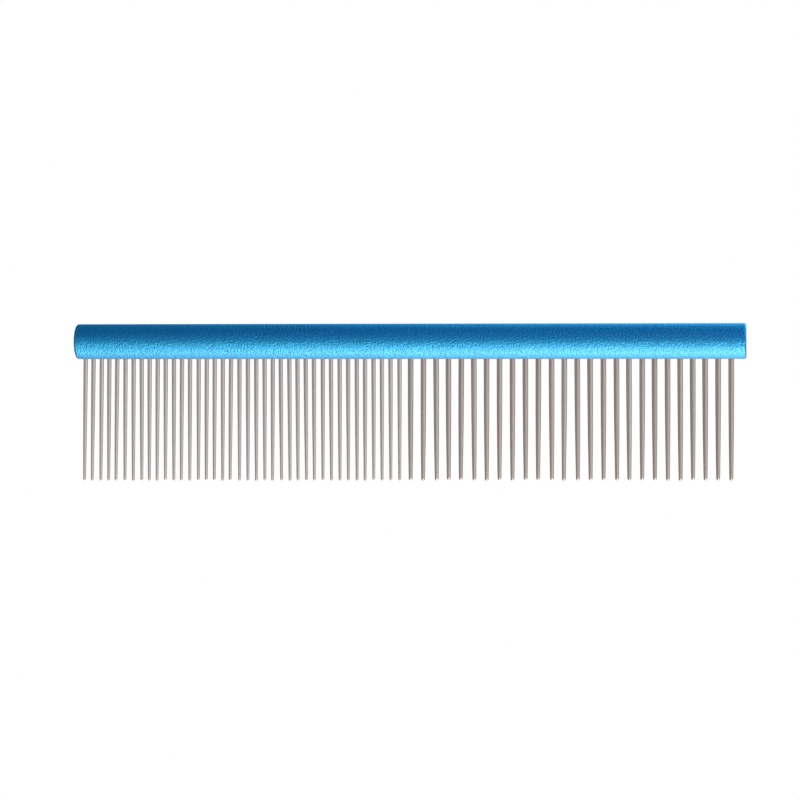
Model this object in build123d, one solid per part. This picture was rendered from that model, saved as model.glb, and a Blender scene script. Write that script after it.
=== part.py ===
from build123d import *
import math
import os

# A two-section grooming comb: a round aluminium spine with steel pins pressed into it.
# Millimetres. The comb lies on a table as it comes to rest: +X runs along the spine to the
# coarse end, the pins point towards -Y and +Z is up. The origin is the middle of the comb's
# footprint, on the table.

# Spine: a round bar with both end edges rounded over.
SPINE_LENGTH = 190.0
SPINE_DIAMETER = 10.0
END_ROUNDING = 0.55

# Every pin, measured along its own axis from the spine's axis.
PIN_REACH = 39.35        # out to the tip
SEAT_REACH = 1.25        # past the spine's axis, to the inner end of the pin
SEAT_CHAMFER = 0.15      # lead-in on the inner end
DRILL_POINT = 118.0      # degrees, included angle at the bottom of each blind hole

# Fine section, counted from the fine end.
FINE_COUNT = 39
FINE_PITCH = 2.38
FINE_MARGIN = 2.05       # from the spine's end face to the first pin's axis
FINE_ROOT_DIAMETER = 1.25
FINE_TIP_DIAMETER = 0.80

# Coarse section. Its pitch is also the step across from the last fine pin.
COARSE_COUNT = 26
COARSE_PITCH = 3.6
COARSE_ROOT_DIAMETER = 1.59
COARSE_TIP_DIAMETER = 1.08
PINS_PER_COARSE_NODE = 2

SPINE_RADIUS = SPINE_DIAMETER / 2
CUTTER_OVERRUN = 1.0     # how far a hole's cutter stands clear of the spine


def fine_places():
    """X of each fine pin."""
    first = -SPINE_LENGTH / 2 + FINE_MARGIN
    return [first + i * FINE_PITCH for i in range(FINE_COUNT)]


def coarse_places():
    """X of each coarse pin."""
    first = fine_places()[-1] + COARSE_PITCH
    return [first + i * COARSE_PITCH for i in range(COARSE_COUNT)]


def pin(root_diameter, tip_diameter):
    """A pin that hangs down -Y from the spine's axis at Y = 0: a parallel shank in its hole,
    then one long arc that leaves the shank smoothly and narrows to a round tip."""
    root = root_diameter / 2
    tip = tip_diameter / 2
    tip_centre = -PIN_REACH + tip
    shank = Polyline(
        (0, SEAT_REACH),
        (root - SEAT_CHAMFER, SEAT_REACH),
        (root, SEAT_REACH - SEAT_CHAMFER),
        (root, -SPINE_RADIUS),
    )
    taper = TangentArc((root, -SPINE_RADIUS), (tip, tip_centre), tangent=(0, -1))
    tip_middle = (tip * math.sin(math.pi / 4), tip_centre - tip * math.cos(math.pi / 4))
    nose = ThreePointArc((tip, tip_centre), tip_middle, (0, -PIN_REACH))
    axis_line = Line((0, -PIN_REACH), (0, SEAT_REACH))
    return revolve(make_face([*shank.edges(), taper, nose, axis_line]), Axis.Y)


def hole_cutter(diameter):
    """The drill's shape for one blind hole, from outside the spine to its conical bottom."""
    radius = diameter / 2
    point_height = radius / math.tan(math.radians(DRILL_POINT / 2))
    mouth = -SPINE_RADIUS - CUTTER_OVERRUN
    outline = Polyline(
        (0, SEAT_REACH + point_height),
        (radius, SEAT_REACH),
        (radius, mouth),
        (0, mouth),
        close=True,
    )
    return revolve(make_face(outline), Axis.Y)


def spine():
    """The round bar along X, with rounded end edges and a blind hole for each pin."""
    bar = Rot(Y=90) * Cylinder(SPINE_RADIUS, SPINE_LENGTH)
    bar = fillet(bar.edges().filter_by(GeomType.CIRCLE), END_ROUNDING)
    fine_cutter = hole_cutter(FINE_ROOT_DIAMETER)
    coarse_cutter = hole_cutter(COARSE_ROOT_DIAMETER)
    cutters = [Pos(X=x) * fine_cutter for x in fine_places()]
    cutters += [Pos(X=x) * coarse_cutter for x in coarse_places()]
    return bar - cutters


def resting_place():
    """Where the comb's own plane goes when it lies down: the spine's underside and the coarse
    tips touch the table, and the footprint is centred on the origin."""
    tip = COARSE_TIP_DIAMETER / 2
    tip_centre = PIN_REACH - tip
    tilt = math.asin((SPINE_RADIUS - tip) / tip_centre)
    front = tip_centre * math.cos(tilt) + tip
    axis_y = (front - SPINE_RADIUS) / 2
    return Pos(0, axis_y, SPINE_RADIUS) * Rot(X=math.degrees(tilt))


def parts():
    """Every node by name, in the comb's own plane."""
    nodes = {"spine": spine()}
    fine_pin = pin(FINE_ROOT_DIAMETER, FINE_TIP_DIAMETER)
    for number, x in enumerate(fine_places(), start=1):
        nodes[f"fine_pin_{number:02d}"] = Pos(X=x) * fine_pin
    coarse_pin = pin(COARSE_ROOT_DIAMETER, COARSE_TIP_DIAMETER)
    places = coarse_places()
    for start in range(0, COARSE_COUNT, PINS_PER_COARSE_NODE):
        group = places[start:start + PINS_PER_COARSE_NODE]
        name = f"coarse_pins_{start + 1:02d}_{start + len(group):02d}"
        nodes[name] = Compound([Pos(X=x) * coarse_pin for x in group])
    return nodes


os.makedirs("parts", exist_ok=True)
place = resting_place()
for name, shape in parts().items():
    export_step(place * shape, f"parts/{name}.step")
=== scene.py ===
import math
import random

import bmesh
import bpy
from mathutils import Matrix, Vector


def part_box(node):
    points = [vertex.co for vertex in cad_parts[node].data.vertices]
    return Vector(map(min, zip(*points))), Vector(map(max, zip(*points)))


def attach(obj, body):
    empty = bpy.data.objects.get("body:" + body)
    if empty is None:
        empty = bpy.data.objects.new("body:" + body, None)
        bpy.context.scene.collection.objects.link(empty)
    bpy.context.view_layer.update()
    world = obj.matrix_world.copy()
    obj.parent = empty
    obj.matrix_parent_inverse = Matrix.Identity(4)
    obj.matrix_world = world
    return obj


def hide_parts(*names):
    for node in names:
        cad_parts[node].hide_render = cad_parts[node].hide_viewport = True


# A two-section grooming comb, seen from above against plain white. Metres, in the CAD model's
# frame: +X along the spine to the coarse end, the pins point to -Y and dip down, +Z up.

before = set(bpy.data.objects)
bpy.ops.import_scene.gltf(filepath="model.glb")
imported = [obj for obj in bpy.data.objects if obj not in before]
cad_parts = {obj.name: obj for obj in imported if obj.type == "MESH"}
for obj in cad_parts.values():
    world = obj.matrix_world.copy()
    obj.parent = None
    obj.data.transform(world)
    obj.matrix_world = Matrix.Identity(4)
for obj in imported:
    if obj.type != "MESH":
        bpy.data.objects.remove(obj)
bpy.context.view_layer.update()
MM = 0.001
random.seed(7)

# ---- measures read from the frame ----------------------------------------------------------

spine_low, spine_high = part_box("spine")
SPINE_CENTRE = (spine_low + spine_high) / 2
SPINE_RADIUS = (spine_high.z - spine_low.z) / 2
HALF_LENGTH = (spine_high.x - spine_low.x) / 2
FINE_NODES = sorted(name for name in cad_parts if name.startswith("fine_pin_"))
COARSE_NODES = sorted(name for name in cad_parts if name.startswith("coarse_pins_"))


def lowest(node):
    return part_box(node)[0]


def highest(node):
    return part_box(node)[1]


# A fine node holds one pin and a coarse node holds two, so a node's width gives its pins' size.
FINE_ROOT = (highest(FINE_NODES[0]).x - lowest(FINE_NODES[0]).x) / 2
FINE_PITCH = lowest(FINE_NODES[1]).x - lowest(FINE_NODES[0]).x
COARSE_PITCH = (lowest(COARSE_NODES[1]).x - lowest(COARSE_NODES[0]).x) / 2
COARSE_ROOT = (highest(COARSE_NODES[0]).x - lowest(COARSE_NODES[0]).x - COARSE_PITCH) / 2

# A coarse pin's round tip touches both the table and the front of its box.
COARSE_TIP = 0.54 * MM
FINE_TIP = 0.40 * MM
coarse_front = lowest(COARSE_NODES[0]).y
tip_drop = SPINE_CENTRE.z - COARSE_TIP
tip_run = SPINE_CENTRE.y - (coarse_front + COARSE_TIP)
PIN_REACH = math.hypot(tip_drop, tip_run) + COARSE_TIP
TILT = math.atan2(tip_drop, tip_run)
SEAT_REACH = 1.25 * MM    # how far a pin goes past the spine's axis
SEAT_CHAMFER = 0.15 * MM

# The comb's own plane: X along the spine, Y from the tips up to the spine, Z out of its face.
COMB_PLANE = Matrix.Translation(SPINE_CENTRE) @ Matrix.Rotation(TILT, 4, "X")


# ---- materials -----------------------------------------------------------------------------


class Nodes:
    """A short way to write a node tree: each call adds a node, sets its values and links it."""

    def __init__(self, owner):
        self.owner = owner
        owner.use_nodes = True
        self.tree = owner.node_tree
        self.tree.nodes.clear()

    def add(self, kind, values=None, **settings):
        node = self.tree.nodes.new(kind)
        for key, value in settings.items():
            setattr(node, key, value)
        for key, value in (values or {}).items():
            self.put(node.inputs[key], value)
        return node

    def put(self, socket, value):
        if isinstance(value, bpy.types.NodeSocket):
            self.tree.links.new(value, socket)
        else:
            socket.default_value = value

    def noise(self, vector, scale, detail=2.0):
        values = {"Vector": vector, "Scale": scale, "Detail": detail}
        return self.add("ShaderNodeTexNoise", values).outputs["Fac"]

    def span(self, value, low, high, to_low, to_high, shape="LINEAR"):
        """value, mapped from low..high to to_low..to_high and held there."""
        node = self.add(
            "ShaderNodeMapRange",
            {
                "Value": value,
                "From Min": low,
                "From Max": high,
                "To Min": to_low,
                "To Max": to_high,
            },
            interpolation_type=shape,
        )
        return node.outputs["Result"]

    def mix(self, factor, first, second, blend="MIX"):
        node = self.add("ShaderNodeMix", data_type="RGBA", blend_type=blend)
        self.put(node.inputs["Factor"], factor)
        self.put(node.inputs[6], first)
        self.put(node.inputs[7], second)
        return node.outputs[2]

    def bump(self, height, distance):
        node = self.add("ShaderNodeBump", {"Height": height, "Distance": distance})
        return node.outputs["Normal"]

    def finish(self, shader, output="ShaderNodeOutputMaterial"):
        self.put(self.add(output).inputs["Surface"], shader)
        return self.owner


def anodised_aluminium():
    """Bead-blasted aluminium under a dyed blue oxide: a fine peened grain, a deep blue that
    drifts a little, and the clear seal's own faint shine."""
    m = Nodes(bpy.data.materials.new("anodised_blue"))
    place = m.add("ShaderNodeTexCoord").outputs["Object"]
    grain = m.noise(place, 2300, detail=1)
    drift = m.noise(place, 60, detail=3)
    deep = m.mix(m.span(drift, 0.3, 0.7, 0.0, 1.0), (0.01, 0.315, 0.65, 1), (0.01, 0.34, 0.69, 1))
    pitted = m.mix(m.span(grain, 0.38, 0.62, 0.0, 0.5), deep, (0.0, 0.15, 0.36, 1))
    shader = m.add(
        "ShaderNodeBsdfPrincipled",
        {
            "Base Color": pitted,
            "Metallic": 1.0,
            "Roughness": m.span(grain, 0.3, 0.7, 0.36, 0.44),
            "Specular Tint": (0.1, 0.5, 0.85, 1),
            "Coat Weight": 0.35,
            "Coat IOR": 1.7,
            "Coat Roughness": 0.18,
            "Normal": m.bump(grain, 0.25 * MM),
        },
    )
    return m.finish(shader.outputs[0])


PAINTED_TIP_SHADE = "painted_tip_shade"   # the mesh attribute that is 1 on a pin's end and 0 elsewhere: where the steel gets its painted shade


def ground_steel():
    """Stainless wire ground to a taper: long faint lines along each pin, a tone that differs a
    little from pin to pin, and painted shade on each pin's end, darkened so its round nose
    shows a grey rim under its highlight."""
    m = Nodes(bpy.data.materials.new("ground_steel"))
    place = m.add("ShaderNodeTexCoord").outputs["Object"]
    by_comb = m.add("ShaderNodeMapping", {"Vector": place, "Rotation": (-TILT, 0, 0)}).outputs[0]
    by_line = m.add("ShaderNodeMapping", {"Vector": by_comb, "Scale": (5000, 30, 5000)}).outputs[0]
    by_pin = m.add("ShaderNodeMapping", {"Vector": place, "Scale": (420, 4, 4)}).outputs[0]
    lines = m.noise(by_line, 1.0)
    tone = m.span(m.noise(by_pin, 1.0, detail=0), 0.3, 0.7, 0.0, 1.0)
    x = m.add("ShaderNodeSeparateXYZ", {"Vector": place}).outputs["X"]
    fine = m.mix(tone, (0.58, 0.535, 0.505, 1), (0.66, 0.62, 0.61, 1))
    coarse = m.mix(tone, (0.50, 0.445, 0.405, 1), (0.57, 0.52, 0.49, 1))
    steel = m.mix(m.span(x, 0.0, 0.001, 0.0, 1.0), fine, coarse)
    # Painted shade: each pin's end turns a dark bluish grey, so its round nose shows a grey rim under
    # its highlight in place of the steel's own colour.
    tip_shade = m.add("ShaderNodeAttribute", attribute_name=PAINTED_TIP_SHADE).outputs["Fac"]
    shader = m.add(
        "ShaderNodeBsdfPrincipled",
        {
            "Base Color": m.mix(tip_shade, steel, (0.1, 0.14, 0.18, 1)),
            "Metallic": 1.0,
            "Roughness": m.span(lines, 0.3, 0.7, 0.25, 0.30),
            "Normal": m.bump(lines, 0.002 * MM),
        },
    )
    return m.finish(shader.outputs[0])


# ---- pieces --------------------------------------------------------------------------------


def piece(name, bm, material, nodes):
    """A finished object from bm, in the comb's own plane, that stands for CAD nodes."""
    bmesh.ops.recalc_face_normals(bm, faces=bm.faces)
    mesh = bpy.data.meshes.new(name)
    bm.to_mesh(mesh)
    bm.free()
    mesh.transform(COMB_PLANE)
    mesh.materials.append(material)
    mesh.shade_smooth()
    obj = bpy.data.objects.new(name, mesh)
    bpy.context.scene.collection.objects.link(obj)
    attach(obj, "root")
    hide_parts(*nodes)
    return obj


def loft(bm, rings):
    """Quads between each ring of points and the next. A ring with one point closes the end."""
    rows = [[bm.verts.new(point) for point in ring] for ring in rings]
    for first, second in zip(rows, rows[1:]):
        count = max(len(first), len(second))
        for i in range(count):
            j = (i + 1) % count
            corners = [first[i % len(first)], first[j % len(first)]]
            corners += [second[j % len(second)], second[i % len(second)]]
            bm.faces.new(dict.fromkeys(corners))


PIN_SIDES = 28
TAPER_START = 0.9 * SPINE_RADIUS   # just inside the spine's surface
TAPER_STEPS = 26
FINE_TAPER = 1.6           # the power that a taper follows: higher narrows later
COARSE_TAPER = 2.3
NOSE_STEPS = 8
NOSE_STRETCH = 1.3         # the nose's length over its radius
PAINTED_TIP_SHADE_LENGTH = 0.5 * MM  # how far the painted shade reaches back from a pin's end


def pin_outline(root, tip, taper_power):
    """(reach, radius) along a pin from its seat to its tip. The taper starts at the spine's
    surface and steepens towards an elliptical nose."""
    seat = -SEAT_REACH
    outline = [(seat, 0.0), (seat, root - SEAT_CHAMFER), (seat + SEAT_CHAMFER, root)]
    nose_start = PIN_REACH - NOSE_STRETCH * tip
    for step in range(TAPER_STEPS + 1):
        part = step / TAPER_STEPS
        reach = TAPER_START + part * (nose_start - TAPER_START)
        outline.append((reach, root - (root - tip) * part**taper_power))
    for step in range(1, NOSE_STEPS + 1):
        angle = step / NOSE_STEPS * math.pi / 2
        reach = nose_start + NOSE_STRETCH * tip * math.sin(angle)
        outline.append((reach, tip * math.cos(angle) if step < NOSE_STEPS else 0.0))
    return outline


def make_pin(name, node, x, outline, lean, rise, extra_reach):
    """One pin, turned about the point where it leaves the spine by lean degrees to the side and
    by rise degrees up off the table."""
    bm = bmesh.new()
    # A vertex layer for the painted shade on the pin's end: 0 along the pin, rising to 1 at its end.
    tip_shade_layer = bm.verts.layers.float.new(PAINTED_TIP_SHADE)
    rings = []
    for reach, radius in outline:
        if radius == 0.0:
            rings.append([(0, -reach, 0)])
            continue
        ring = []
        for i in range(PIN_SIDES):
            angle = 2 * math.pi * i / PIN_SIDES
            ring.append((radius * math.cos(angle), -reach, radius * math.sin(angle)))
        rings.append(ring)
    loft(bm, rings)
    end = max(reach for reach, _ in outline)
    for vert in bm.verts:
        vert[tip_shade_layer] = max(0.0, 1.0 + (-vert.co.y - end) / PAINTED_TIP_SHADE_LENGTH)
    root_point = Matrix.Translation((0, SPINE_RADIUS, 0))
    leaning = Matrix.Rotation(math.radians(lean), 4, "Z")
    rising = Matrix.Rotation(math.radians(-rise), 4, "X")
    moved_out = Matrix.Translation((x, -SPINE_RADIUS - extra_reach, 0))
    place = moved_out @ leaning @ rising @ root_point
    bmesh.ops.transform(bm, matrix=place, verts=bm.verts)
    pin = piece(name, bm, STEEL, [node])
    pin.visible_glossy = False   # the blasted spine shows no mirror image of its pins


# What the pins of each section do together, by pin number: how far they lean towards the
# coarse end, in degrees, and how far their holes have drifted that way, in millimetres.
FINE_FAN = ((0, -0.65), (7, -0.1), (12, -0.2), (20, 0.0), (26, 0.4), (31, 0.2), (38, 0.1))
FINE_DRIFT = ((0, 0.4), (5, 0.1), (12, -0.13), (28, -0.15), (33, 0.1), (38, 0.3))
COARSE_FAN = ((0, 0.1), (25, 0.1))
COARSE_DRIFT = ((0, 0.0), (6, -0.17), (14, 0.24), (19, 0.2), (25, -0.35))

# How unevenly the pins were set, as standard deviations: millimetres across, degrees of lean,
# degrees off the table, and millimetres of stand-out with its limit.
FINE_SCATTER = (0.05, 0.15)
COARSE_SCATTER = (0.06, 0.2)
RISE_SCATTER = 0.1
STAND_OUT_SCATTER = 0.08
STAND_OUT_LIMIT = 0.15

STAND_OUT_SLOPE = -0.0054  # the pins stand out a little further towards the fine end
STAND_OUT_MIDDLE = -0.1    # millimetres, at the middle of the spine


def along(points, index):
    """The value at a pin between the listed ones."""
    for (start, first), (end, last) in zip(points, points[1:]):
        if index <= end:
            return first + (last - first) * (index - start) / (end - start)


def place_section(kind, slots, root, half_pitch, outline, fan, drift, scatter):
    """One section's pins, from a list of (node, x), and where each one leaves the spine:
    (drawn x, x, root radius, half its pitch)."""
    places = []
    across_scatter, lean_scatter = scatter
    for index, (node, drawn_x) in enumerate(slots):
        x = drawn_x + (along(drift, index) + random.gauss(0, across_scatter)) * MM
        lean = along(fan, index) + random.gauss(0, lean_scatter)
        name = f"pin_{kind}_{index + 1:02d}"
        make_pin(name, node, x, outline, lean, random_rise(), stand_out(x))
        places.append((drawn_x, x, root, half_pitch))
    return places


def place_pins():
    """Every pin, and where each one leaves the spine."""
    fine_slots = [(node, lowest(node).x + FINE_ROOT) for node in FINE_NODES]
    coarse_slots = []
    for node in COARSE_NODES:
        first_x = lowest(node).x + COARSE_ROOT
        coarse_slots += [(node, first_x), (node, first_x + COARSE_PITCH)]
    fine_outline = pin_outline(FINE_ROOT, FINE_TIP, FINE_TAPER)
    coarse_outline = pin_outline(COARSE_ROOT, COARSE_TIP, COARSE_TAPER)
    return place_section(
        "fine", fine_slots, FINE_ROOT, FINE_PITCH / 2, fine_outline, FINE_FAN, FINE_DRIFT, FINE_SCATTER
    ) + place_section(
        "coarse",
        coarse_slots,
        COARSE_ROOT,
        COARSE_PITCH / 2,
        coarse_outline,
        COARSE_FAN,
        COARSE_DRIFT,
        COARSE_SCATTER,
    )


def random_rise():
    """A small lift of the tip off the table, in degrees."""
    return abs(random.gauss(0, RISE_SCATTER))


def stand_out(x):
    """How much further than drawn a pin stands out."""
    scatter = random.gauss(0, STAND_OUT_SCATTER)
    scatter = max(-STAND_OUT_LIMIT, min(STAND_OUT_LIMIT, scatter))
    return x * STAND_OUT_SLOPE + (scatter + STAND_OUT_MIDDLE) * MM


# ---- the spine, with its holes -------------------------------------------------------------

BAND = 1.45 * MM          # half the height of the strip that holds the holes
CELL_STEPS = 6            # faces along each side of a hole's cell
BACK_STEPS = 84           # faces round the rest of the spine
MOUTH = 0.05 * MM         # the broken edge of each hole
DRILL_POINT = math.radians(118)
END_ROUNDING = 0.55 * MM
END_STEPS = 6


def on_spine(x, height, radius=None):
    """A point on the spine's surface, height above the pins' plane measured along the arc."""
    radius = SPINE_RADIUS if radius is None else radius
    angle = height / SPINE_RADIUS
    return Vector((x, -radius * math.cos(angle), radius * math.sin(angle)))


def cell_edge(middle, half_width):
    """Points round a hole's rectangular cell, as (x, height)."""
    points = []
    corners = [(1, -1), (1, 1), (-1, 1), (-1, -1)]
    for (x0, y0), (x1, y1) in zip(corners, corners[1:] + corners[:1]):
        for step in range(CELL_STEPS):
            part = step / CELL_STEPS
            across = x0 + (x1 - x0) * part
            up = y0 + (y1 - y0) * part
            points.append((middle + across * half_width, up * BAND))
    return points


def hole_cell(bm, middle, x, radius, half_width):
    """The strip's surface round one hole, the hole's broken edge, its wall and its bottom."""
    edge = cell_edge(middle, half_width)
    directions = [
        math.atan2(height / BAND, (across - middle) / half_width) for across, height in edge
    ]

    def circle(size, reach=None):
        ring = []
        for angle in directions:
            across = size * math.cos(angle)
            up = size * math.sin(angle)
            surface = math.sqrt(SPINE_RADIUS**2 - up**2)
            ring.append(Vector((x + across, -(surface if reach is None else reach), up)))
        return ring

    mouth = circle(radius + MOUTH)
    outside = [on_spine(across, height) for across, height in edge]
    rings = [outside]
    for part in (0.4, 0.75):
        ring = []
        for (across, height), point in zip(edge, mouth):
            arc = SPINE_RADIUS * math.asin(point.z / SPINE_RADIUS)
            between = across + (point.x - across) * part
            ring.append(on_spine(between, height + (arc - height) * part))
        rings.append(ring)
    rings.append(mouth)
    rings.append([point + Vector((0, MOUTH, 0)) for point in circle(radius)])
    rings.append(circle(radius, -SEAT_REACH))
    rings.append([Vector((x, SEAT_REACH + radius / math.tan(DRILL_POINT / 2), 0))])
    loft(bm, rings)


def back_angles():
    """Heights round the rest of the spine, from the strip's top edge to its bottom edge."""
    whole = 2 * math.pi * SPINE_RADIUS
    return [BAND + (whole - 2 * BAND) * i / BACK_STEPS for i in range(BACK_STEPS + 1)]


def patch(bm, xs, heights):
    """A plain piece of the spine's surface."""
    rows = [[bm.verts.new(on_spine(x, height)) for x in xs] for height in heights]
    for first, second in zip(rows, rows[1:]):
        for i in range(len(xs) - 1):
            bm.faces.new((first[i], first[i + 1], second[i + 1], second[i]))


def steps(start, end, count):
    return [start + (end - start) * i / count for i in range(count + 1)]


def spine_end(bm, heights, side):
    """The rounded edge and the flat face at one end."""
    rings = []
    for step in range(END_STEPS + 1):
        angle = step / END_STEPS * math.pi / 2
        x = side * (HALF_LENGTH - END_ROUNDING + END_ROUNDING * math.sin(angle))
        radius = SPINE_RADIUS - END_ROUNDING + END_ROUNDING * math.cos(angle)
        rings.append([on_spine(x, height, radius) for height in heights])
    for part in (0.96, 0.66, 0.33):
        rings.append([on_spine(x, height, radius * part) for height in heights])
    rings.append([(x, 0, 0)])
    loft(bm, rings)


def make_spine(places):
    bm = bmesh.new()
    back = back_angles()
    band = steps(-BAND, BAND, CELL_STEPS)
    start = -HALF_LENGTH + END_ROUNDING
    for middle, x, radius, half_width in places:
        if middle - half_width - start > 0.01 * MM:
            patch(bm, steps(start, middle - half_width, 2), band + back[1:])
        hole_cell(bm, middle, x, radius, half_width)
        start = middle + half_width
        patch(bm, steps(middle - half_width, start, CELL_STEPS), back)
    patch(bm, steps(start, HALF_LENGTH - END_ROUNDING, 4), band + back[1:])
    around = band[:-1] + back[:-1]
    spine_end(bm, around, -1)
    spine_end(bm, around, 1)
    bmesh.ops.remove_doubles(bm, verts=bm.verts, dist=0.0005 * MM)
    return piece("spine_bar", bm, ALUMINIUM, ["spine"])


ALUMINIUM = anodised_aluminium()
STEEL = ground_steel()
make_spine(place_pins())


# ---- studio --------------------------------------------------------------------------------


# The room as the metal sees it: an even light, then soft lights, each with its direction, the
# cosine from it at which it fades out, and its colour.
EVEN_LIGHT = (0.12, 0.125, 0.135)
SOFT_LIGHTS = (
    # in front of the tips, from high to low, and one towards the coarse end
    ((0.15, -1, 1.2), 0.8, (1.7, 1.8, 1.6)),
    ((0.15, -1, 0.27), 0.8, (2.4, 1.7, 1.4)),
    ((0.15, -1, -0.27), 0.8, (3.0, 2.1, 1.7)),
    ((0.15, -1, -1.2), 0.8, (1.8, 1.5, 1.3)),
    ((0.4, -1, 0.14), 0.65, (3.4, 1.9, 1.5)),
    # a cool fill from behind the spine, high and low
    ((0.6, 1, 1), 0.75, (0.28, 0.5, 0.95)),
    ((0.6, 1, -0.36), 0.7, (0.45, 1.0, 1.2)),
    ((0.6, 1, -1.2), 0.8, (0.6, 2.3, 2.1)),
    # overhead, the coarse end's side, the fine end's side and the table below
    ((0, 0, 1), 0.8, (0.28, 0.26, 0.26)),
    ((1, 0, 1), 0.75, (0.3, 0.26, 0.24)),
    ((1, 0, 0.25), 0.7, (0.82, 0.76, 0.76)),
    ((-1, 0, 0.4), 0.75, (0.5, 0.42, 0.4)),
    ((0, 0, -1), 0.8, (0.3, 0.28, 0.28)),
)


def surroundings():
    """The room's light. The camera sees plain white."""
    m = Nodes(bpy.data.worlds.new("studio"))
    bpy.context.scene.world = m.owner
    way = m.add("ShaderNodeTexCoord").outputs["Generated"]
    light = (*EVEN_LIGHT, 1)
    for direction, start, colour in SOFT_LIGHTS:
        towards = Vector(direction).normalized()
        near = m.add("ShaderNodeVectorMath", {0: way, 1: towards}, operation="DOT_PRODUCT")
        part = m.span(near.outputs["Value"], start, 1.0, 0.0, 1.0, "SMOOTHSTEP")
        light = m.mix(part, light, (*colour, 1), "ADD")
    real = m.add("ShaderNodeBackground", {"Color": light}).outputs[0]
    plain = m.add("ShaderNodeBackground", {"Color": (1, 1, 1, 1)}).outputs[0]
    camera_ray = m.add("ShaderNodeLightPath").outputs["Is Camera Ray"]
    both = m.add("ShaderNodeMixShader", {0: camera_ray, 1: real, 2: plain}).outputs[0]
    m.finish(both, "ShaderNodeOutputWorld")


# The camera, in the comb's own plane: what it looks at, how it is turned and how far it is.
LENS = 127.64
SENSOR_WIDTH = 36.0
LOOK_AT = Vector((-1.94, -16.54, 0)) * MM
SIDEWAYS = math.radians(7.25)     # over towards the coarse end
FORWARD = math.radians(-0.22)
ROLL = math.radians(0.06)
DISTANCE = 0.8


def add_camera():
    """Looking down on the comb's face from well over its coarse end's side."""
    data = bpy.data.cameras.new("camera")
    data.sensor_width = SENSOR_WIDTH
    data.lens = LENS
    data.clip_start = 0.01
    turn = (
        Matrix.Rotation(SIDEWAYS, 4, "Y")
        @ Matrix.Rotation(FORWARD, 4, "X")
        @ Matrix.Rotation(ROLL, 4, "Z")
    )
    distance = Matrix.Translation((0, 0, DISTANCE))
    camera = bpy.data.objects.new("camera", data)
    camera.matrix_world = COMB_PLANE @ Matrix.Translation(LOOK_AT) @ turn @ distance
    bpy.context.scene.collection.objects.link(camera)
    bpy.context.scene.camera = camera


surroundings()
add_camera()
bpy.context.scene.view_settings.view_transform = "Standard"
